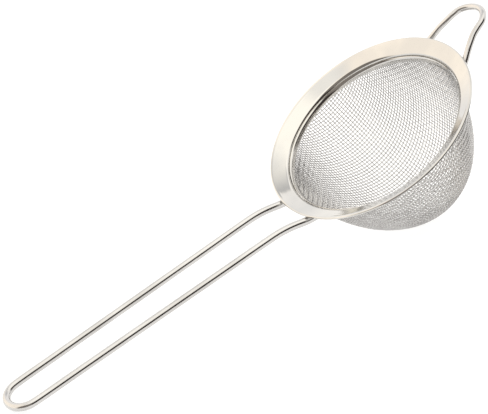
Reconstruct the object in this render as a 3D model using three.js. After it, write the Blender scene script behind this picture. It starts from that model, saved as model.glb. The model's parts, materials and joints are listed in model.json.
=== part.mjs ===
// A stainless steel tea strainer with a deep woven bowl, a wide sloping rim,
// a long bent wire handle and a wire rest hook.
// Millimetres. The strainer lies on a table at z = 0 as it does when put down:
// the bottom of the bowl and the far end of the handle touch the table.
// +X runs from the handle end to the hook, +Z is up.
// The pieces are made round the rim's own axis, with the top of the rim at height 0
// and the handle towards -X, and one group then tips them onto the table.
import * as THREE from "three";

// Rim: a sloping steel ring with a beaded outer edge and a collar turned down inside.
const rimRadius = 40;
const beadThickness = 0.9;
const sheetThickness = 0.5;
const rimSlope = 0.52;
const collarInnerRadius = 33.85;
const collarBottom = -5.5;

// Retaining ring: a thin band pressed into the collar, its lip flared out over the mesh's cut edge.
const retainerInnerRadius = 32.75;
const retainerThickness = 0.3;
const retainerLipRadius = 33.6;
const retainerTop = -3.25;
const retainerFlareStart = -4.15;
const retainerBottom = -5.2;

// Bowl: the woven cloth drawn into a deep cup that leans a little towards the hook.
const bowlRadius = 33.6;
const clothThickness = 0.35;
const bowlTop = -4.1;
const bowlWaist = -5.2;
const bowlDepth = 45;
const bowlSideAngle = THREE.MathUtils.degToRad(8.8);
const bowlSidePull = 19.1;
const bowlFloorPull = 18.6;
const bowlLean = 0.051;

// Handle: one wire bent double, its two ends welded under the rim.
const handleWire = 2.8;
const handleGapAtRim = 16.4;
const handleGapAtEnd = 14.3;
const handleRootOut = 35;
const handleRimOut = 39.2;
const handleBendOut = 47.9;
const handleStraightEnd = 147.7;
const handleLoopReach = 6.4;
const handleRootHeight = -4.35;
const handleRimHeight = -2.75;
const handleBendHeight = 2.1;
const handleStraightEndHeight = 27.8;
const handleBendSetback = 5;

// Rest hook: a lighter wire loop opposite the handle.
const hookWire = 2.4;
const hookTipOut = 57;
const hookTipHeight = 0.35;

const roundSegments = 72;
const wireSegments = 5;

function steel(red, green, blue, roughness) {
  return new THREE.MeshStandardMaterial({
    color: new THREE.Color(red, green, blue),
    metalness: 1,
    roughness,
  });
}

const polishedSheet = steel(0.8, 0.78, 0.74, 0.28);
const brightWire = steel(0.76, 0.74, 0.71, 0.2);
const wovenWire = steel(0.7, 0.7, 0.69, 0.38);

// Turns a closed profile of [radius, height] points round the Z axis.
function turned(profile) {
  const points = profile.map(([radius, height]) => new THREE.Vector2(radius, height));
  const geometry = new THREE.LatheGeometry(points, roundSegments);
  geometry.rotateX(Math.PI / 2);
  return geometry;
}

// Sweeps a round wire along a list of points.
function wireAlong(points, diameter, steps) {
  const section = new THREE.Shape();
  section.absarc(0, 0, diameter / 2, 0, 2 * Math.PI);
  const path = new THREE.CatmullRomCurve3(points, false, "centripetal");
  return new THREE.ExtrudeGeometry(section, {
    steps,
    bevelEnabled: false,
    curveSegments: wireSegments,
    extrudePath: path,
  });
}

function rimFlange() {
  const beadRadius = beadThickness / 2;
  const beadCentre = rimRadius - beadRadius;
  const collarOuterRadius = collarInnerRadius + sheetThickness;
  const bead = [90, 45, 0, -45, -90].map((degrees) => {
    const angle = THREE.MathUtils.degToRad(degrees);
    return [beadCentre + beadRadius * Math.cos(angle), beadRadius * (Math.sin(angle) - 1)];
  });
  const topAt = (radius) => -rimSlope * (beadCentre - radius);
  const underAt = (radius) => topAt(radius) - sheetThickness * Math.hypot(1, rimSlope);
  const seatInnerRadius = beadCentre - (beadThickness - sheetThickness * Math.hypot(1, rimSlope)) / rimSlope;
  const foldRadius = collarInnerRadius + 0.4;
  const profile = [
    ...bead,
    [seatInnerRadius, -beadThickness],
    [collarOuterRadius + 0.3, underAt(collarOuterRadius + 0.3)],
    [collarOuterRadius, underAt(collarOuterRadius) - 0.35],
    [collarOuterRadius, collarBottom],
    [collarInnerRadius, collarBottom],
    [collarInnerRadius, topAt(foldRadius) - 0.5],
    [collarInnerRadius + 0.1, topAt(foldRadius) - 0.2],
    [foldRadius, topAt(foldRadius)],
    bead[0],
  ];
  return turned(profile.reverse());
}

function retainingRing() {
  const outerRadius = retainerInnerRadius + retainerThickness;
  const flareHeight = retainerTop - retainerFlareStart;
  const profile = [
    [retainerInnerRadius, retainerBottom],
    [outerRadius, retainerBottom],
    [outerRadius, retainerFlareStart],
    [outerRadius + 0.15, retainerTop - retainerThickness - flareHeight / 3],
    [retainerLipRadius, retainerTop - retainerThickness],
    [retainerLipRadius, retainerTop],
    [retainerInnerRadius + 0.42, retainerTop - flareHeight / 5],
    [retainerInnerRadius + 0.14, retainerTop - flareHeight / 1.8],
    [retainerInnerRadius, retainerFlareStart],
    [retainerInnerRadius, retainerBottom],
  ];
  return turned(profile);
}

// The bowl's outer side view, from the waist under the collar to the middle of the floor.
const bowlOutline = new THREE.CubicBezierCurve(
  new THREE.Vector2(bowlRadius, bowlWaist),
  new THREE.Vector2(
    bowlRadius - bowlSidePull * Math.sin(bowlSideAngle),
    bowlWaist - bowlSidePull * Math.cos(bowlSideAngle),
  ),
  new THREE.Vector2(bowlFloorPull, -bowlDepth),
  new THREE.Vector2(0, -bowlDepth),
);

function meshBowl() {
  const outlineSteps = 12;
  const outer = [];
  const inner = [];
  for (let i = 0; i <= outlineSteps; i += 1) {
    const share = i / outlineSteps;
    const point = bowlOutline.getPoint(share);
    const along = bowlOutline.getTangent(share);
    outer.push([point.x, point.y]);
    inner.push([Math.max(0, point.x + along.y * clothThickness), point.y - along.x * clothThickness]);
  }
  const innerRadius = bowlRadius - clothThickness;
  const profile = [
    ...outer.reverse(),
    [bowlRadius, bowlTop],
    [innerRadius, bowlTop],
    ...inner,
  ];
  const geometry = turned(profile);
  const position = geometry.getAttribute("position");
  for (let i = 0; i < position.count; i += 1) {
    const below = Math.max(0, bowlWaist - position.getZ(i));
    position.setX(i, position.getX(i) + bowlLean * below);
  }
  return geometry;
}

// One leg of the handle, from the weld under the rim to the start of the end loop.
function handleLeg(side) {
  const halfGap = (out) => {
    const share = (out - handleRimOut) / (handleStraightEnd - handleRimOut);
    return side * THREE.MathUtils.lerp(handleGapAtRim, handleGapAtEnd, share) / 2;
  };
  const at = (out, height) => new THREE.Vector3(-out, halfGap(out), height);
  const root = at(handleRootOut, handleRootHeight);
  const rim = at(handleRimOut, handleRimHeight);
  const bend = at(handleBendOut, handleBendHeight);
  const end = at(handleStraightEnd, handleStraightEndHeight);
  const before = bend.clone().lerp(rim, handleBendSetback / bend.distanceTo(rim));
  const after = bend.clone().lerp(end, handleBendSetback / bend.distanceTo(end));
  const corner = new THREE.QuadraticBezierCurve3(before, bend, after);
  const straight = new THREE.LineCurve3(after, end);
  return [root, rim, ...corner.getPoints(4), ...straight.getPoints(6).slice(1)];
}

function handleLoop() {
  const rise = (handleStraightEndHeight - handleBendHeight) / (handleStraightEnd - handleBendOut);
  const points = [];
  for (let degrees = -75; degrees <= 75; degrees += 15) {
    const angle = THREE.MathUtils.degToRad(degrees);
    const reach = handleLoopReach * Math.cos(angle);
    points.push(
      new THREE.Vector3(
        -handleStraightEnd - reach,
        (handleGapAtEnd / 2) * Math.sin(angle),
        handleStraightEndHeight + rise * reach,
      ),
    );
  }
  return points;
}

function handleWireShape() {
  return wireAlong([...handleLeg(-1), ...handleLoop(), ...handleLeg(1).reverse()], handleWire, 96);
}

function restHook() {
  // Distance out from the rim's axis, half the width of the loop and height.
  const half = [
    [33.9, 12.35, -4.1],
    [38.4, 11.15, -2.5],
    [41, 10.25, -1.45],
    [43.9, 9.3, -0.4],
    [46.8, 8.25, 0.3],
    [49.8, 7.6, 0.7],
    [52.7, 6.85, 0.75],
    [55.25, 4.75, 0.6],
    [56.65, 2.25, 0.4],
  ];
  const leg = (side) => half.map(([out, width, height]) => new THREE.Vector3(out, side * width, height));
  const tip = new THREE.Vector3(hookTipOut, 0, hookTipHeight);
  return wireAlong([...leg(-1), tip, ...leg(1).reverse()], hookWire, 44);
}

function piece(name, geometry, material) {
  const mesh = new THREE.Mesh(geometry, material);
  mesh.name = name;
  return mesh;
}

const bowl = piece("mesh_bowl", meshBowl(), wovenWire);
const handle = piece("handle_wire", handleWireShape(), brightWire);
const rimAssembly = new THREE.Group();
rimAssembly.add(
  piece("rim_flange", rimFlange(), polishedSheet),
  piece("retaining_ring", retainingRing(), polishedSheet),
  bowl,
  handle,
  piece("rest_hook", restHook(), brightWire),
);

// The height of a piece's lowest point once the rim is tipped down towards the handle.
function lowestPoint(mesh, tilt) {
  const position = mesh.geometry.getAttribute("position");
  let lowest = Infinity;
  for (let i = 0; i < position.count; i += 1) {
    lowest = Math.min(lowest, position.getX(i) * Math.sin(tilt) + position.getZ(i) * Math.cos(tilt));
  }
  return lowest;
}

// The tilt at which the bowl and the handle end touch the table together, found by halving.
function restingTilt() {
  let flat = 0;
  let steep = Math.PI / 3;
  for (let i = 0; i < 40; i += 1) {
    const middle = (flat + steep) / 2;
    if (lowestPoint(handle, middle) > lowestPoint(bowl, middle)) {
      flat = middle;
    } else {
      steep = middle;
    }
  }
  return (flat + steep) / 2;
}

rimAssembly.rotation.y = -restingTilt();
const strainer = new THREE.Group();
strainer.add(rimAssembly);
strainer.updateMatrixWorld(true);
const extent = new THREE.Box3().setFromObject(strainer, true);
const centre = extent.getCenter(new THREE.Vector3());
rimAssembly.position.set(-centre.x, -centre.y, -extent.min.z);

export default strainer;
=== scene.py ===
import json
import math

import bpy
import numpy as np
from mathutils import Matrix, Vector


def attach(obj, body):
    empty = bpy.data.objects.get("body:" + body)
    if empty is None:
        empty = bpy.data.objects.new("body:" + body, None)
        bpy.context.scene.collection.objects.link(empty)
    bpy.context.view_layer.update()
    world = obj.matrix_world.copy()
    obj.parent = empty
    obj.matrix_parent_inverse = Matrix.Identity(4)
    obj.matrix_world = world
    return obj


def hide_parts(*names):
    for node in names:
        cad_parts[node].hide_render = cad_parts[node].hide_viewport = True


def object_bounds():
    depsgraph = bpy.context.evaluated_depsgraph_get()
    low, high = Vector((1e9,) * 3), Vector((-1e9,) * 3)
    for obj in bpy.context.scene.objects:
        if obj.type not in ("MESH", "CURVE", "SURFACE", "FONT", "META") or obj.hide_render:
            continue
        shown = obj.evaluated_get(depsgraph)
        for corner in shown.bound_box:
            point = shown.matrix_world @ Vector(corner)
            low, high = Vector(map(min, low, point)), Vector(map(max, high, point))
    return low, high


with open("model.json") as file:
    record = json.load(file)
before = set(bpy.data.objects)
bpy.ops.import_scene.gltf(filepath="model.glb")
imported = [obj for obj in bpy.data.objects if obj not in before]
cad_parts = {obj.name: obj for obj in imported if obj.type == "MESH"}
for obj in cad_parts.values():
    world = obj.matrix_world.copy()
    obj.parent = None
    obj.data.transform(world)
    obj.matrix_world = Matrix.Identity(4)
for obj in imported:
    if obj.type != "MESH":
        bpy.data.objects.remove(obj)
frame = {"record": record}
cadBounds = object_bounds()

# The rim's own frame, found from the flat seat under its beaded edge.
# Pieces are shaped in it in millimetres: x towards the hook, y across, z up the rim's axis.
rimFrame = {
    "seatRadius": 39.22,
    "seatDrop": 0.9,
    "metre": 0.001,  # one millimetre in the scene's unit
}
seatMount = frame["record"]["mounts"][0]
rimUp = -np.array(seatMount["axis"])
across = np.array([0.0, 1.0, 0.0])
hookward = np.cross(across, rimUp)
rimCentre = np.array(seatMount["pos_m"]) + rimFrame["metre"] * (
    rimFrame["seatRadius"] * across + rimFrame["seatDrop"] * rimUp
)


def onTable(points):
    # millimetres in the rim's frame to metres on the table
    return rimCentre + rimFrame["metre"] * (np.asarray(points, float) @ np.array([hookward, across, rimUp]))


# Camera: a long lens above the -y side of the handle, looking towards the bowl

cameraView = {
    "azimuth": -25.206,
    "elevation": 29.91,
    "roll": 11.535,
    "distance": 0.78369,
    "lens": 170.05,
    "aimRight": -0.00203,
    "aimUp": -0.00202,
}


def setCamera():
    turn = math.radians(cameraView["azimuth"])
    rise = math.radians(cameraView["elevation"])
    roll = math.radians(cameraView["roll"])
    toCamera = Vector((math.sin(turn) * math.cos(rise), -math.cos(turn) * math.cos(rise), math.sin(rise)))
    levelRight = Vector((math.cos(turn), math.sin(turn), 0))
    levelUp = toCamera.cross(levelRight)
    right = math.cos(roll) * levelRight - math.sin(roll) * levelUp
    up = math.sin(roll) * levelRight + math.cos(roll) * levelUp
    low, high = (Vector(corner) for corner in cadBounds)
    aim = (low + high) / 2 + cameraView["aimRight"] * right + cameraView["aimUp"] * up
    place = Matrix((right, up, toCamera)).transposed().to_4x4()
    place.translation = aim + cameraView["distance"] * toCamera
    lens = bpy.data.cameras.new("productLens")
    lens.lens = cameraView["lens"]
    lens.sensor_width = 36
    lens.sensor_fit = "HORIZONTAL"
    lens.clip_end = 50
    camera = bpy.data.objects.new("productCamera", lens)
    camera.matrix_world = place
    bpy.context.scene.collection.objects.link(camera)
    bpy.context.scene.camera = camera
    bpy.context.scene.view_settings.view_transform = "Standard"


setCamera()
print("camera set")


# Mesh helpers

def stitchRows(rows, columns, rowsClose):
    # four-sided faces between neighbouring rows of a grid whose columns close on themselves
    steps = rows if rowsClose else rows - 1
    row, column = np.meshgrid(np.arange(steps), np.arange(columns), indexing="ij")
    nextRow, nextColumn = (row + 1) % rows, (column + 1) % columns
    corners = [(row, column), (row, nextColumn), (nextRow, nextColumn), (nextRow, column)]
    quads = np.stack([r * columns + c for r, c in corners], -1).reshape(-1, 4)
    places = [(row, column), (row, column + 1), (row + 1, column + 1), (row + 1, column)]
    return quads, np.stack([np.stack(place, -1) for place in places], 2).reshape(-1, 4, 2)


def skinGrid(grid, rowsClose, strip=(0, 1)):
    # points, faces and unwrapped corners of one closed skin; a strip is its share of the unwrap's height
    rows, columns = grid.shape[:2]
    quads, places = stitchRows(rows, columns, rowsClose)
    around = np.vstack([grid[:1].transpose(1, 0, 2), grid[:1, :1]])[:, 0]
    girth = np.concatenate([[0], np.cumsum(np.linalg.norm(np.diff(around, axis=0), axis=1))])
    shareAlong = places[..., 0] / (rows if rowsClose else rows - 1)
    shareAround = girth[places[..., 1]] / girth[-1]
    corners = np.stack([shareAlong, strip[0] + (strip[1] - strip[0]) * shareAround], -1)
    points = grid.reshape(-1, 3)
    a, b, c, d = (points[quads[:, k]] for k in range(4))
    if np.einsum("ij,ij->", a, np.cross(b, c) + np.cross(c, d)) < 0:
        quads, corners = quads[:, ::-1], corners[:, ::-1]
    faces = quads.tolist()
    corners = corners.reshape(-1, 2).tolist()
    if not rowsClose:
        flip = quads[0, 0] > quads[0, 1] if rows > 1 else False
        first = list(range(columns))
        last = [(rows - 1) * columns + k for k in range(columns)]
        faces += [first, last[::-1]] if flip else [first[::-1], last]
        corners += [(0, strip[0])] * columns + [(1, strip[0])] * columns
    return points, faces, corners


def makePiece(name, skins, finish, cadNode=None, sharpAngle=40):
    points, faces, corners, start = [], [], [], 0
    for skinPoints, skinFaces, skinCorners in skins:
        points.append(skinPoints)
        faces += [[corner + start for corner in face] for face in skinFaces]
        corners += skinCorners
        start += len(skinPoints)
    mesh = bpy.data.meshes.new(name)
    mesh.from_pydata(onTable(np.vstack(points)).tolist(), [], faces)
    unwrap = mesh.uv_layers.new(name="OFBake")
    unwrap.data.foreach_set("uv", np.array(corners, np.float32).ravel())
    mesh.polygons.foreach_set("use_smooth", [True] * len(mesh.polygons))
    mesh.set_sharp_from_angle(angle=math.radians(sharpAngle))
    mesh.materials.append(finish)
    mesh.validate()
    piece = bpy.data.objects.new(name, mesh)
    bpy.context.scene.collection.objects.link(piece)
    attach(piece, "root")
    if cadNode:
        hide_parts(cadNode)
    return piece


def arcPoints(centre, radius, fromDegrees, toDegrees, steps):
    angles = np.radians(np.linspace(fromDegrees, toDegrees, steps + 1))
    return [(centre[0] + radius * math.cos(a), centre[1] + radius * math.sin(a)) for a in angles]


def turnProfile(profile, segments):
    # a closed [radius, height] outline turned round the rim's axis
    outline = np.array(profile)
    angles = np.linspace(0, 2 * math.pi, segments, endpoint=False)
    return np.stack([
        np.outer(np.cos(angles), outline[:, 0]),
        np.outer(np.sin(angles), outline[:, 0]),
        np.tile(outline[:, 1], (segments, 1)),
    ], -1)


def smoothPath(knots, step):
    # a curve through the knots, with points about one step apart
    knots = np.array(knots, float)
    ends = np.vstack([2 * knots[0] - knots[1], knots, 2 * knots[-1] - knots[-2]])
    path = []
    for k in range(1, len(ends) - 2):
        before, start, end, after = ends[k - 1:k + 3]
        gaps = np.sqrt(np.maximum(np.linalg.norm(np.diff(ends[k - 1:k + 3], axis=0), axis=1), 1e-6))
        leave = gaps[1] * ((start - before) / gaps[0] - (end - before) / (gaps[0] + gaps[1])) + end - start
        arrive = gaps[1] * ((after - end) / gaps[2] - (after - start) / (gaps[1] + gaps[2])) + end - start
        count = max(2, round(np.linalg.norm(end - start) / step))
        t = (np.arange(count) / count)[:, None]
        path.append(
            (2 * t**3 - 3 * t**2 + 1) * start + (t**3 - 2 * t**2 + t) * leave
            + (3 * t**2 - 2 * t**3) * end + (t**3 - t**2) * arrive
        )
    return np.vstack(path + [knots[-1:]])


roundedEnd = {
    "steps": 4,
    "reach": 0.3,  # shares of the wire's radius
    "rounded": 0.45,
}


def wireSkin(centres, radius, sides, upward, roundEnds=0):
    # a round wire along the centres; upward is roughly square to it everywhere
    centres = np.asarray(centres, float)
    upward = np.broadcast_to(upward, centres.shape)
    along = np.gradient(centres, axis=0)
    along /= np.linalg.norm(along, axis=1, keepdims=True)
    sideways = np.cross(along, upward)
    sideways /= np.linalg.norm(sideways, axis=1, keepdims=True)
    outward = np.cross(sideways, along)
    radii = np.full(len(centres), float(radius))
    if roundEnds:
        turns = np.radians(np.linspace(90, 0, roundEnds + 1))[:-1]
        reach = np.sin(turns) * radius * roundedEnd["reach"]
        width = np.cos(turns) * radius * roundedEnd["rounded"] + radius * (1 - roundedEnd["rounded"])
        centres = np.vstack([
            centres[0] - reach[:, None] * along[0], centres, centres[-1] + reach[::-1, None] * along[-1],
        ])
        repeats = [roundEnds + 1] + [1] * (len(radii) - 2) + [roundEnds + 1]
        sideways, outward = np.repeat(sideways, repeats, 0), np.repeat(outward, repeats, 0)
        radii = np.concatenate([width, radii, width[::-1]])
    turn = np.linspace(0, 2 * math.pi, sides, endpoint=False)[None, :, None]
    ring = np.cos(turn) * sideways[:, None] + np.sin(turn) * outward[:, None]
    return centres[:, None] + radii[:, None, None] * ring


# Finishes

def newFinish(name, metal, rough, tint):
    finish = bpy.data.materials.new(name)
    finish.use_nodes = True
    tree = finish.node_tree
    shader = tree.nodes["Principled BSDF"]
    shader.inputs["Metallic"].default_value = metal
    shader.inputs["Roughness"].default_value = rough
    shader.inputs["Base Color"].default_value = (*tint, 1)
    return finish, tree, shader


def addNode(tree, kind, values=None, **settings):
    made = tree.nodes.new(kind)
    for name, value in settings.items():
        setattr(made, name, value)
    for socket, value in (values or {}).items():
        if isinstance(value, bpy.types.NodeSocket):
            tree.links.new(value, made.inputs[socket])
        else:
            made.inputs[socket].default_value = value
    return made


def mathOf(tree, operation, *values):
    return addNode(tree, "ShaderNodeMath", dict(enumerate(values)), operation=operation).outputs[0]


def rangeOf(tree, value, fromLow, fromHigh, toLow, toHigh, smooth=False):
    spread = addNode(tree, "ShaderNodeMapRange", {
        "Value": value, "From Min": fromLow, "From Max": fromHigh, "To Min": toLow, "To Max": toHigh,
    }, interpolation_type="SMOOTHSTEP" if smooth else "LINEAR")
    return spread.outputs["Result"]


def mixTints(tree, share, first, second):
    mixed = tree.nodes.new("ShaderNodeMix")
    mixed.data_type = "RGBA"
    shareSocket, firstSocket, secondSocket = mixed.inputs["Factor"], mixed.inputs[6], mixed.inputs[7]
    for socket, value in ((shareSocket, share), (firstSocket, first), (secondSocket, second)):
        if isinstance(value, bpy.types.NodeSocket):
            tree.links.new(value, socket)
        elif isinstance(value, tuple):
            socket.default_value = (*value, 1)
        else:
            socket.default_value = value
    return mixed.outputs[2]


def noiseOf(tree, vector, scale, detail, roughness=0.5):
    noise = addNode(tree, "ShaderNodeTexNoise", {
        "Vector": vector, "Scale": scale, "Detail": detail, "Roughness": roughness,
    })
    return noise.outputs["Fac"]


def stretched(tree, vector, x, y, z=1):
    return addNode(tree, "ShaderNodeMapping", {"Vector": vector, "Scale": (x, y, z)}).outputs["Vector"]


def bumpInto(tree, shader, *layers):
    # each layer is (height, depth in metres); they stack from first to last
    normal = None
    for height, depth in layers:
        values = {"Height": height, "Distance": depth, "Strength": 1}
        if normal:
            values["Normal"] = normal
        normal = addNode(tree, "ShaderNodeBump", values).outputs["Normal"]
    tree.links.new(normal, shader.inputs["Normal"])


sheetLook = {
    "pale": (0.66, 0.643, 0.611),
    "dull": (0.55, 0.545, 0.535),
    "rough": (0.04, 0.085),
    "grainDepth": 0.0000012,
    "waveDepth": 0.00006,
    "wornRough": 0.03,  # added where the surface is scuffed
    "grainScale": (9, 260),  # along and across the unwrap
    "pressScale": (14, 3),
    "cloudScale": 45,
    "scuffScale": 900,
}


def polishedSheet():
    finish, tree, shader = newFinish("polishedSheet", 1, 0.1, sheetLook["pale"])
    unwrap = addNode(tree, "ShaderNodeUVMap", uv_map="OFBake").outputs["UV"]
    place = addNode(tree, "ShaderNodeTexCoord").outputs["Object"]
    # turned lines round the rim
    grain = noiseOf(tree, stretched(tree, unwrap, *sheetLook["grainScale"]), 2, 4, 0.6)
    cloud = noiseOf(tree, place, sheetLook["cloudScale"], 3)
    press = noiseOf(tree, stretched(tree, unwrap, *sheetLook["pressScale"]), 1, 2)  # uneven pressing
    scuffs = noiseOf(tree, place, sheetLook["scuffScale"], 6, 0.7)
    wear = rangeOf(tree, scuffs, 0.62, 0.72, 0, 1, True)
    tint = mixTints(tree, rangeOf(tree, cloud, 0.35, 0.65, 0, 1, True), sheetLook["pale"], sheetLook["dull"])
    tree.links.new(tint, shader.inputs["Base Color"])
    low, high = sheetLook["rough"]
    worn = mathOf(tree, "MULTIPLY", wear, sheetLook["wornRough"])
    rough = mathOf(tree, "ADD", rangeOf(tree, grain, 0.3, 0.7, low, high), worn)
    tree.links.new(rough, shader.inputs["Roughness"])
    bumpInto(tree, shader, (press, sheetLook["waveDepth"]), (grain, sheetLook["grainDepth"]))
    return finish


wireLook = {
    "pale": (0.62, 0.61, 0.60),
    "dull": (0.51, 0.50, 0.49),
    "rough": (0.09, 0.2),
    "drawDepth": 0.000002,
    "wornRough": 0.1,
    "drawScale": (22, 34),
    "cloudScale": 60,
    "scuffScale": 1400,
}


def brightWire():
    finish, tree, shader = newFinish("brightWire", 1, 0.14, wireLook["pale"])
    unwrap = addNode(tree, "ShaderNodeUVMap", uv_map="OFBake").outputs["UV"]
    place = addNode(tree, "ShaderNodeTexCoord").outputs["Object"]
    # lines left by the drawing die
    drawn = noiseOf(tree, stretched(tree, unwrap, *wireLook["drawScale"]), 1, 5, 0.65)
    cloud = noiseOf(tree, place, wireLook["cloudScale"], 4)
    scuffs = noiseOf(tree, place, wireLook["scuffScale"], 5, 0.7)
    wear = rangeOf(tree, scuffs, 0.62, 0.74, 0, 1, True)
    tint = mixTints(tree, rangeOf(tree, cloud, 0.35, 0.7, 0, 1, True), wireLook["pale"], wireLook["dull"])
    tree.links.new(tint, shader.inputs["Base Color"])
    low, high = wireLook["rough"]
    worn = mathOf(tree, "MULTIPLY", wear, wireLook["wornRough"])
    rough = mathOf(tree, "ADD", rangeOf(tree, drawn, 0.3, 0.7, low, high), worn)
    tree.links.new(rough, shader.inputs["Roughness"])
    bumpInto(tree, shader, (drawn, wireLook["drawDepth"]))
    return finish


clothLook = {
    "pale": (0.66, 0.652, 0.647),
    "dull": (0.34, 0.335, 0.332),
    "rough": (0.1, 0.2),
    "drawDepth": 0.000002,
    "wireScale": (1.5, 97),
    "cloudScale": 120,
    "gritScale": 6000,
}


def wovenWire():
    finish, tree, shader = newFinish("wovenWire", 1, 0.3, clothLook["pale"])
    place = addNode(tree, "ShaderNodeTexCoord").outputs["Object"]
    unwrap = addNode(tree, "ShaderNodeUVMap", uv_map="OFBake").outputs["UV"]
    # wires differ a little from one another
    perWire = noiseOf(tree, stretched(tree, unwrap, *clothLook["wireScale"]), 1, 1)
    cloud = noiseOf(tree, place, clothLook["cloudScale"], 4)
    grit = noiseOf(tree, place, clothLook["gritScale"], 3)
    wireShare = rangeOf(tree, perWire, 0.3, 0.7, 0, 1)
    share = mathOf(tree, "MULTIPLY", wireShare, rangeOf(tree, cloud, 0.3, 0.7, 0.2, 1))
    tint = mixTints(tree, share, clothLook["pale"], clothLook["dull"])
    tree.links.new(tint, shader.inputs["Base Color"])
    low, high = clothLook["rough"]
    tree.links.new(rangeOf(tree, grit, 0.3, 0.7, low, high), shader.inputs["Roughness"])
    bumpInto(tree, shader, (grit, clothLook["drawDepth"]))
    return finish


sheetFinish = polishedSheet()
wireFinish = brightWire()
clothFinish = wovenWire()
print("steel finishes made")


# Rim: a sloping ring with a beaded edge and a collar turned down inside

rimShape = {
    "sheetThickness": 0.5,
    "slope": 0.45,
    "slopeMeets": 39.68,  # radius at which the slope would reach height 0
    # the rolled edge, from its underside out and over to where the slope begins
    "rolledEdge": [
        (39.55, -0.9), (39.78, -0.85), (39.93, -0.74), (40, -0.57), (39.91, -0.42), (39.82, -0.275),
        (39.76, -0.22), (39.66, -0.195), (39.4, -0.225), (39.1, -0.275), (38.9, -0.33), (38.75, -0.4),
    ],
    "undersideEnds": 38.9,
    "slopeStarts": 38.5,
    "slopeSteps": 12,
    "foldRadius": 2.0,
    "foldSteps": 14,
    # under the fold: how far out the sheet leaves the collar, and two (out, drop) points on the way
    "underFold": 0.45,
    "underFoldPoints": [(0, -0.55), (0.12, -0.22)],
    "collarInner": 33.85,
    "collarBottom": -5.5,
    "bareEdge": 0.12,
    "segments": 288,
}


def makeRim():
    sheet, slope, fold = rimShape["sheetThickness"], rimShape["slope"], rimShape["foldRadius"]
    collar, bottom, bare = rimShape["collarInner"], rimShape["collarBottom"], rimShape["bareEdge"]
    lean = math.atan(slope)

    def top(radius):
        return -slope * (rimShape["slopeMeets"] - radius)

    def under(radius):
        return top(radius) - sheet / math.cos(lean)

    foldTouch = collar + fold - fold * math.sin(lean)
    foldHeight = top(foldTouch) - fold * math.cos(lean)
    slopeRadii = np.linspace(rimShape["slopeStarts"], foldTouch, rimShape["slopeSteps"])[:-1]
    outerFold = collar + sheet + rimShape["underFold"]
    profile = (
        rimShape["rolledEdge"]
        + [(radius, top(radius)) for radius in slopeRadii]
        + arcPoints((collar + fold, foldHeight), fold, 90 + math.degrees(lean), 180, rimShape["foldSteps"])
        + [(collar, bottom + bare), (collar + bare, bottom)]
        + [(collar + sheet - bare, bottom), (collar + sheet, bottom + bare)]
        + [(collar + sheet + out, under(outerFold) + drop) for out, drop in rimShape["underFoldPoints"]]
        + [(outerFold, under(outerFold)), (rimShape["undersideEnds"], rimShape["rolledEdge"][0][1])]
    )
    skin = skinGrid(turnProfile(profile, rimShape["segments"]), True)
    return makePiece("rim_sheet_turned", [skin], sheetFinish, "rim_flange")


makeRim()
print("rim made")


# Retaining ring: a thin band pressed into the collar over the cut edge of the woven cloth

ringShape = {
    "inner": 32.8,
    "bottom": -5.2,
    "curve": 2.76,  # the band rolls outwards to its top edge in one arc of this radius
    "rolled": 45,
    "thickness": 0.2,
    "arcSteps": 10,
    "segments": 240,
}


def makeRing():
    thick, curve = ringShape["thickness"], ringShape["curve"]
    centre = (ringShape["inner"] + curve, ringShape["bottom"])
    topAngle = 180 - ringShape["rolled"]
    face = arcPoints(centre, curve, 180, topAngle, ringShape["arcSteps"])
    back = arcPoints(centre, curve - thick, topAngle, 180, ringShape["arcSteps"])
    topEdge = arcPoints(centre, curve - thick / 2, topAngle - 1, topAngle - 1, 0)
    bottomEdge = [(ringShape["inner"] + thick / 2, ringShape["bottom"] - 0.05)]
    skin = skinGrid(turnProfile(face + topEdge + back + bottomEdge, ringShape["segments"]), True)
    return makePiece("retaining_band", [skin], sheetFinish, "retaining_ring")


makeRing()
print("retaining ring made")


# Handle: one wire bent double, its two ends under the rim

handleShape = {
    "wire": 2.8,
    "gapAtRim": 16.4,
    "gapAtEnd": 14.3,
    "root": (35, -4.35),  # distance out and height of each stage of a leg
    "rim": (39.2, -2.75),
    "bend": (47.9, 2.1),
    "straightEnd": (147.7, 27.8),
    "bendSetback": 5,
    "bendSteps": 4,
    "straightSteps": 6,
    "loopReach": 6.4,
    "loopTurn": 75,  # degrees from the loop's middle to its last point on each side
    "loopStep": 15,
    "sides": 32,
    "step": 0.9,  # distance between rings of the wire's skin
}


def handleLeg(side):
    def at(stage):
        out, height = handleShape[stage]
        share = (out - handleShape["rim"][0]) / (handleShape["straightEnd"][0] - handleShape["rim"][0])
        gap = handleShape["gapAtRim"] + share * (handleShape["gapAtEnd"] - handleShape["gapAtRim"])
        return np.array([-out, side * gap / 2, height])

    root, rim, bend, end = (at(stage) for stage in ("root", "rim", "bend", "straightEnd"))
    before = bend + (rim - bend) * handleShape["bendSetback"] / np.linalg.norm(rim - bend)
    after = bend + (end - bend) * handleShape["bendSetback"] / np.linalg.norm(end - bend)
    shares = np.linspace(0, 1, handleShape["bendSteps"] + 1)[:, None]
    corner = (1 - shares) ** 2 * before + 2 * shares * (1 - shares) * bend + shares**2 * after
    straight = after + np.linspace(0, 1, handleShape["straightSteps"] + 1)[1:, None] * (end - after)
    return np.vstack([root, rim, corner, straight])


def handleLoop():
    out, height = handleShape["straightEnd"]
    rise = (height - handleShape["bend"][1]) / (out - handleShape["bend"][0])
    widest = handleShape["loopTurn"]
    turn = np.radians(np.arange(-widest, widest + 1, handleShape["loopStep"]))
    reach = handleShape["loopReach"] * np.cos(turn)
    return np.stack([-out - reach, handleShape["gapAtEnd"] / 2 * np.sin(turn), height + rise * reach], -1)


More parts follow.
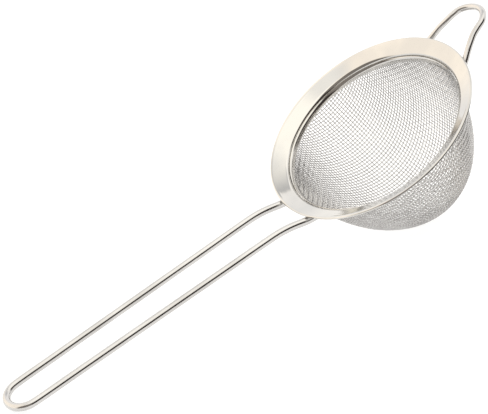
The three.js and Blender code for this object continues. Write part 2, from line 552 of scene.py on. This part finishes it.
def makeHandle():
    path = smoothPath(np.vstack([handleLeg(-1), handleLoop(), handleLeg(1)[::-1]]), handleShape["step"])
    wire = wireSkin(path, handleShape["wire"] / 2, handleShape["sides"], (0, 0, 1), roundedEnd["steps"])
    return makePiece("handle_bent_wire", [skinGrid(wire, False)], wireFinish, "handle_wire")


makeHandle()
print("handle made")


# Rest hook: a lighter wire loop opposite the handle

hookShape = {
    "wire": 2.4,
    # distance out from the rim's axis, half the width of the loop, height
    "leg": [
        (33.9, 12.35, -4.1), (38.4, 11.15, -2.5), (41, 10.25, -1.45), (43.9, 9.3, -0.4), (46.8, 8.25, 0.3),
        (49.8, 7.6, 0.7), (52.7, 6.85, 0.75), (55.25, 4.75, 0.6), (56.65, 2.25, 0.4),
    ],
    "tip": (57, 0, 0.35),
    "sides": 32,
    "step": 0.5,
}


def makeHook():
    leg = np.array(hookShape["leg"])
    path = smoothPath(np.vstack([leg * (1, -1, 1), hookShape["tip"], leg[::-1]]), hookShape["step"])
    wire = wireSkin(path, hookShape["wire"] / 2, hookShape["sides"], (0, 0, 1), roundedEnd["steps"])
    return makePiece("hook_bent_wire", [skinGrid(wire, False)], wireFinish, "rest_hook")


makeHook()
print("rest hook made")


# Woven cloth: two sets of wires drawn into the bowl, each crossing over and under the other

clothShape = {
    "pitch": 1.19,
    "wire": 0.28,
    "sides": 6,
    "samplesPerStep": 4,
    "waistRadius": 33.42,
    "waist": -5.2,
    "depth": 44.67,
    "sideAngle": 8.8,
    "sidePull": 19.1,
    "floorPull": 18.6,
    "lean": 0.051,
    "cutHeight": -4.4,
    "netTop": -2.4,  # the net runs on past the cut, so that every wire reaches it
    "netCentre": -12,  # height on the axis from which the bowl is measured
    "waver": 0.035,  # how far a wire wanders from its even place
    "seed": 7,
    "solverRounds": 12,
    "longestStep": 0.5,  # in pitches, for one round of the solver
    "shortestDiagonal": 0.15,  # in pitches, where the cloth is sheared almost shut
}


def bowlOutline():
    # [radius, height] from the middle of the floor up the side to the top of the net
    angle = math.radians(clothShape["sideAngle"])
    waist, radius, depth = clothShape["waist"], clothShape["waistRadius"], clothShape["depth"]
    pull = clothShape["sidePull"]
    handles = np.array([
        (0, -depth),
        (clothShape["floorPull"], -depth),
        (radius - pull * math.sin(angle), waist - pull * math.cos(angle)),
        (radius, waist),
    ])
    t = np.linspace(0, 1, 600)[:, None]
    curve = (1 - t) ** 3 * handles[0] + 3 * (1 - t) ** 2 * t * handles[1]
    curve = curve + 3 * (1 - t) * t**2 * handles[2] + t**3 * handles[3]
    rise = np.linspace(waist, clothShape["netTop"], 40)[1:]
    return np.vstack([curve, np.stack([np.full(len(rise), radius), rise], -1)])


def bowlNet():
    # a quarter of the net: crossings one pitch apart along both sets of wires and on the bowl
    outline = bowlOutline()
    pitch, centre = clothShape["pitch"], clothShape["netCentre"]
    swing = np.arctan2(outline[:, 0], centre - outline[:, 1])
    swings = np.linspace(0, swing[-1], 4000)
    reaches = np.interp(swings, swing, np.hypot(outline[:, 0], outline[:, 1] - centre))
    reachRates = np.gradient(reaches, swings)
    length = np.concatenate([[0], np.cumsum(np.linalg.norm(np.diff(outline, axis=0), axis=1))])
    count = int(length[-1] / pitch)
    stations = np.arange(count + 1) * pitch
    radii, heights = (np.interp(stations, length, outline[:, k]) for k in (0, 1))
    net = np.full((count + 1, count + 1, 3), np.nan)
    net[:, 0] = np.stack([radii, 0 * radii, heights], -1)
    net[0, :] = np.stack([0 * radii, radii, heights], -1)
    for diagonal in range(2, 2 * count + 1):
        i = np.arange(max(1, diagonal - count), min(count, diagonal - 1) + 1)
        j = diagonal - i
        beside, below, behind = net[i - 1, j], net[i, j - 1], net[i - 1, j - 1]
        known = np.isfinite(beside[:, 0] + below[:, 0] + behind[:, 0])
        if not known.any():
            break
        i, j, beside, below, behind = i[known], j[known], beside[known], below[known], behind[known]
        point = beside + below - behind
        for _ in range(clothShape["solverRounds"]):
            radius = np.maximum(np.hypot(point[:, 0], point[:, 1]), 1e-9)
            drop = point[:, 2] - centre
            reach = np.hypot(radius, drop)
            angle = np.arctan2(radius, -drop)
            outward = np.stack([point[:, 0] / radius, point[:, 1] / radius, 0 * radius], -1)
            upward = np.array([0, 0, 1.0])
            reachSlope = (radius / reach)[:, None] * outward + (drop / reach)[:, None] * upward
            angleSlope = (-drop / reach**2)[:, None] * outward + (radius / reach**2)[:, None] * upward
            missBeside = ((point - beside) ** 2).sum(1) - pitch**2
            missBelow = ((point - below) ** 2).sum(1) - pitch**2
            missBowl = reach - np.interp(angle, swings, reaches)
            slopes = np.stack([
                2 * (point - beside),
                2 * (point - below),
                reachSlope - np.interp(angle, swings, reachRates)[:, None] * angleSlope,
            ], 1)
            slopes[np.abs(np.linalg.det(slopes)) < 1e-6] = np.eye(3)
            misses = np.stack([missBeside, missBelow, missBowl], 1)
            step = np.linalg.solve(slopes, misses[..., None])[..., 0]
            size = np.linalg.norm(step, axis=1, keepdims=True)
            point = point - step * np.minimum(1, clothShape["longestStep"] * pitch / np.maximum(size, 1e-12))
        diagonalLength = np.linalg.norm(point - behind, axis=1)
        good = (np.abs(misses).max(1) < 1e-3) & (diagonalLength > clothShape["shortestDiagonal"] * pitch)
        point[~(good & (angle < swing[-1]))] = np.nan
        net[i, j] = point
    return net


def wholeNet():
    # four mirrored quarters, with each wire wandering slightly
    quarter = bowlNet()
    steps = quarter.shape[0] - 1
    index = np.arange(-steps, steps + 1)
    net = quarter[np.abs(index)[:, None], np.abs(index)[None, :]].copy()
    net[..., 0] *= np.where(index < 0, -1, 1)[:, None]
    net[..., 1] *= np.where(index < 0, -1, 1)[None, :]
    chance = np.random.default_rng(clothShape["seed"])
    for axis in (0, 1):
        phase = chance.uniform(0, 2 * math.pi, len(index))
        pace = chance.uniform(0.1, 0.3, len(index))
        wander = clothShape["waver"] * np.sin(pace[None, :] * index[:, None] + phase[None, :])
        net[..., 1 - axis] += wander if axis == 0 else wander.T
    return net


def bowlNormals(net):
    # outward directions at the crossings, from the neighbours on both sets of wires
    def difference(axis):
        ahead, back = np.roll(net, -1, axis), np.roll(net, 1, axis)
        span = ahead - back
        span = np.where(np.isfinite(span), span, ahead - net)
        return np.where(np.isfinite(span), span, net - back)

    normal = -np.cross(difference(0), difference(1))
    return normal / np.linalg.norm(normal, axis=2, keepdims=True)


def clothWires(net, normals, family):
    # centre lines of one set of wires, with the outward direction at each sample
    count = clothShape["samplesPerStep"]
    shares = (np.arange(count) / count)[:, None]
    wires = []
    lines = net.transpose(1, 0, 2) if family == "warp" else net
    facings = normals.transpose(1, 0, 2) if family == "warp" else normals
    for k, (line, facing) in enumerate(zip(lines, facings)):
        known = np.flatnonzero(np.isfinite(line[:, 0] + facing[:, 0]))
        if len(known) < 3:
            continue
        over = np.where((known + k) % 2 == 0, 1, -1) * (1 if family == "warp" else -1)
        line, facing = line[known], facing[known]
        centres = line[:-1, None] + shares * np.diff(line, axis=0)[:, None]
        outward = facing[:-1, None] + shares * np.diff(facing, axis=0)[:, None]
        sway = over[:-1, None, None] * np.cos(math.pi * shares) * clothShape["wire"] / 2
        centres = (centres + sway * outward).reshape(-1, 3)
        outward = outward.reshape(-1, 3)
        centres[:, 0] += clothShape["lean"] * np.maximum(0, clothShape["waist"] - centres[:, 2])
        kept = np.flatnonzero(centres[:, 2] < clothShape["cutHeight"])
        for run in np.split(kept, np.flatnonzero(np.diff(kept) > 1) + 1):
            if len(run) > 6:
                wires.append((centres[run], outward[run]))
    return wires


def makeCloth():
    net = wholeNet()
    normals = bowlNormals(net)
    for family in ("warp", "weft"):
        wires = clothWires(net, normals, family)
        halves = (("first", wires[:len(wires) // 2]), ("second", wires[len(wires) // 2:]))
        for half, members in halves:
            strips = np.linspace(0, 1, len(members) + 1)
            skins = []
            for k, (centres, outward) in enumerate(members):
                wire = wireSkin(centres, clothShape["wire"] / 2, clothShape["sides"], outward)
                skins.append(skinGrid(wire, False, (strips[k], strips[k + 1])))
            makePiece(f"woven_{family}_{half}", skins, clothFinish, "mesh_bowl", 80)
            print(f"{family} wires, {half} half: {len(members)}")


makeCloth()
print("woven bowl made")


# Welds: a small flattened bead of metal on each wire end under the rim

weldShape = {
    "handle": {"along": 1.9, "wide": 1.55, "deep": 1.2},
    "hook": {"along": 1.7, "wide": 1.35, "deep": 1.05},
    # x, y and z from the left wire's end to the bead's middle
    "fromHandleEnd": (-0.9, 0, 0.55),
    "fromHookEnd": (1.2, -0.2, 0.5),
    "rings": 14,
    "points": 28,
    "lumps": 0.09,
    "seed": 3,
    "tip": -20,  # degrees that a bead leans with its wire
}


def weldSkin(centre, size, seed):
    chance = np.random.default_rng(seed)
    latitudes = np.linspace(0, math.pi, weldShape["rings"])
    turn = np.linspace(0, 2 * math.pi, weldShape["points"], endpoint=False)
    phases = chance.uniform(0, 2 * math.pi, 3)
    grid = np.zeros((weldShape["rings"], weldShape["points"], 3))
    for k, latitude in enumerate(latitudes):
        width = max(math.sin(latitude), 0.02)
        lump = 1 + weldShape["lumps"] * (
            np.sin(2 * turn + phases[0]) * np.sin(3 * latitude + phases[1])
            + 0.5 * np.sin(5 * turn + phases[2])
        )
        grid[k] = np.stack([
            np.full(len(turn), -math.cos(latitude) * size["along"]),
            size["wide"] * width * lump * np.cos(turn),
            size["deep"] * width * lump * np.sin(turn),
        ], -1)
    outward = np.array([centre[0], centre[1], 0]) / math.hypot(centre[0], centre[1])
    sideways = np.cross((0, 0, 1), outward)
    tip = math.radians(weldShape["tip"])
    along = math.cos(tip) * outward - math.sin(tip) * np.array([0, 0, 1])
    return centre + grid @ np.array([along, sideways, np.cross(along, sideways)])


def makeWelds():
    out, height = handleShape["root"]
    handleRoot = np.array([-out, handleShape["gapAtRim"] / 2, height]) + weldShape["fromHandleEnd"]
    hookRoot = np.array(hookShape["leg"][0]) + weldShape["fromHookEnd"]
    for name, root in (("handle", handleRoot), ("hook", hookRoot)):
        for side, mark in ((-1, "right"), (1, "left")):
            place = root * (1, side, 1)
            skin = skinGrid(weldSkin(place, weldShape[name], weldShape["seed"] + side), False)
            makePiece(f"{name}_weld_{mark}", [skin], wireFinish)


makeWelds()
print("welds made")


# Floor and light

floorLook = {
    "halfWidth": 3.0,
    "drop": 0.0004,  # just under the wires that touch it
    "tint": (0.42, 0.42, 0.418),
    "glow": 0.76,
    "mottleScale": 9,
    "mottleDulls": 0.975,
}


def makeFloor():
    half, level = floorLook["halfWidth"], -floorLook["drop"]
    mesh = bpy.data.meshes.new("paleFloor")
    corners = [(-half, -half, level), (half, -half, level), (half, half, level), (-half, half, level)]
    mesh.from_pydata(corners, [], [(0, 1, 2, 3)])
    finish, tree, shader = newFinish("paleBoard", 0, 0.7, floorLook["tint"])
    place = addNode(tree, "ShaderNodeTexCoord").outputs["Object"]
    mottle = noiseOf(tree, place, floorLook["mottleScale"], 4)
    pale = floorLook["tint"]
    dull = tuple(floorLook["mottleDulls"] * part for part in pale)
    tint = mixTints(tree, rangeOf(tree, mottle, 0.3, 0.7, 0, 1), pale, dull)
    tree.links.new(tint, shader.inputs["Base Color"])
    shader.inputs["Emission Color"].default_value = (1, 1, 1, 1)
    shader.inputs["Emission Strength"].default_value = floorLook["glow"]
    shader.inputs["Specular IOR Level"].default_value = 0.1
    mesh.materials.append(finish)
    floor = bpy.data.objects.new("paleFloor", mesh)
    bpy.context.scene.collection.objects.link(floor)


roomLight = {
    "overhead": (1.56, 1.52, 1.42),
    "wall": (1.30, 1.28, 1.255),
    "cream": (1.58, 1.45, 1.28),
    "veil": (1.26, 1.24, 1.19),
    "creamAzimuth": -115,
    "creamWidth": (0.35, 0.72),  # how nearly a direction points there where the tone starts and is full
    "creamFades": (0.85, 0.97),  # heights between which the tone dies away
    "veilRises": (0.8, 0.9),
    "veilFades": (0.95, 0.985),
    "veilWidth": (0.5, 0.8),
    "grey": (0.73, 0.73, 0.735),
    "greyAzimuth": 152,
    "greyWidth": (0.7, 0.9),
    "greyFades": (0.71, 0.93),
    "overheadStarts": (0.665, 0.69),  # heights between which the wall gives way to the overhead light
    "darkFront": (0.06, 0.05, 0.045),
    "darkFrontAzimuth": -6,
    "darkFrontWidth": (0.0, 0.36),
    "darkFrontFades": (0.6, 0.78),
    "darkCorner": (0.30, 0.27, 0.245),
    "darkCornerAzimuth": -46,
    "darkCornerWidth": (0.82, 0.9),
    "darkCornerFades": (0.74, 0.8),
    "backdrop": (1.02, 1.02, 1.02),
}


def towards(tree, direction, azimuth):
    # how nearly a direction points to an azimuth, level with the table
    turn = math.radians(azimuth)
    flat = addNode(tree, "ShaderNodeVectorMath", {0: direction, 1: (1, 1, 0)}, operation="MULTIPLY")
    level = addNode(tree, "ShaderNodeVectorMath", {0: flat.outputs[0]}, operation="NORMALIZE").outputs[0]
    aim = (math.sin(turn), -math.cos(turn), 0)
    return addNode(tree, "ShaderNodeVectorMath", {0: level, 1: aim}, operation="DOT_PRODUCT").outputs["Value"]


def lightRoom():
    world = bpy.data.worlds.new("softRoom")
    world.use_nodes = True
    bpy.context.scene.world = world
    tree = world.node_tree
    background = tree.nodes["Background"]
    direction = addNode(tree, "ShaderNodeTexCoord").outputs["Generated"]
    height = addNode(tree, "ShaderNodeSeparateXYZ", {"Vector": direction}).outputs["Z"]
    creamward = towards(tree, direction, roomLight["creamAzimuth"])
    cream = rangeOf(tree, creamward, *roomLight["creamWidth"], 0, 1, True)
    greyward = towards(tree, direction, roomLight["greyAzimuth"])
    grey = rangeOf(tree, greyward, *roomLight["greyWidth"], 0, 1, True)
    frontward = towards(tree, direction, roomLight["darkFrontAzimuth"])
    darkFront = rangeOf(tree, frontward, *roomLight["darkFrontWidth"], 0, 1, True)
    aboveWall = rangeOf(tree, height, *roomLight["overheadStarts"], 0, 1)
    tone = mixTints(tree, aboveWall, roomLight["wall"], roomLight["overhead"])
    greyTop = rangeOf(tree, height, *roomLight["greyFades"], 1, 0)
    greyFoot = rangeOf(tree, height, *roomLight["overheadStarts"], 0, 1)
    grey = mathOf(tree, "MULTIPLY", grey, mathOf(tree, "MULTIPLY", greyTop, greyFoot))
    tone = mixTints(tree, grey, tone, roomLight["grey"])
    creamTop = rangeOf(tree, height, *roomLight["creamFades"], 1, 0, True)
    tone = mixTints(tree, mathOf(tree, "MULTIPLY", cream, creamTop), tone, roomLight["cream"])
    veilFoot = rangeOf(tree, height, *roomLight["veilRises"], 0, 1, True)
    veilTop = rangeOf(tree, height, *roomLight["veilFades"], 1, 0, True)
    veilSide = rangeOf(tree, creamward, *roomLight["veilWidth"], 0, 1, True)
    veil = mathOf(tree, "MULTIPLY", mathOf(tree, "MULTIPLY", veilFoot, veilTop), veilSide)
    tone = mixTints(tree, veil, tone, roomLight["veil"])
    frontTop = rangeOf(tree, height, *roomLight["darkFrontFades"], 1, 0, True)
    tone = mixTints(tree, mathOf(tree, "MULTIPLY", darkFront, frontTop), tone, roomLight["darkFront"])
    cornerward = towards(tree, direction, roomLight["darkCornerAzimuth"])
    darkCorner = rangeOf(tree, cornerward, *roomLight["darkCornerWidth"], 0, 1, True)
    cornerTop = rangeOf(tree, height, *roomLight["darkCornerFades"], 1, 0, True)
    tone = mixTints(tree, mathOf(tree, "MULTIPLY", darkCorner, cornerTop), tone, roomLight["darkCorner"])
    seen = addNode(tree, "ShaderNodeLightPath").outputs["Is Camera Ray"]
    tree.links.new(mixTints(tree, seen, tone, roomLight["backdrop"]), background.inputs["Color"])


makeFloor()
lightRoom()
print("floor and light made")
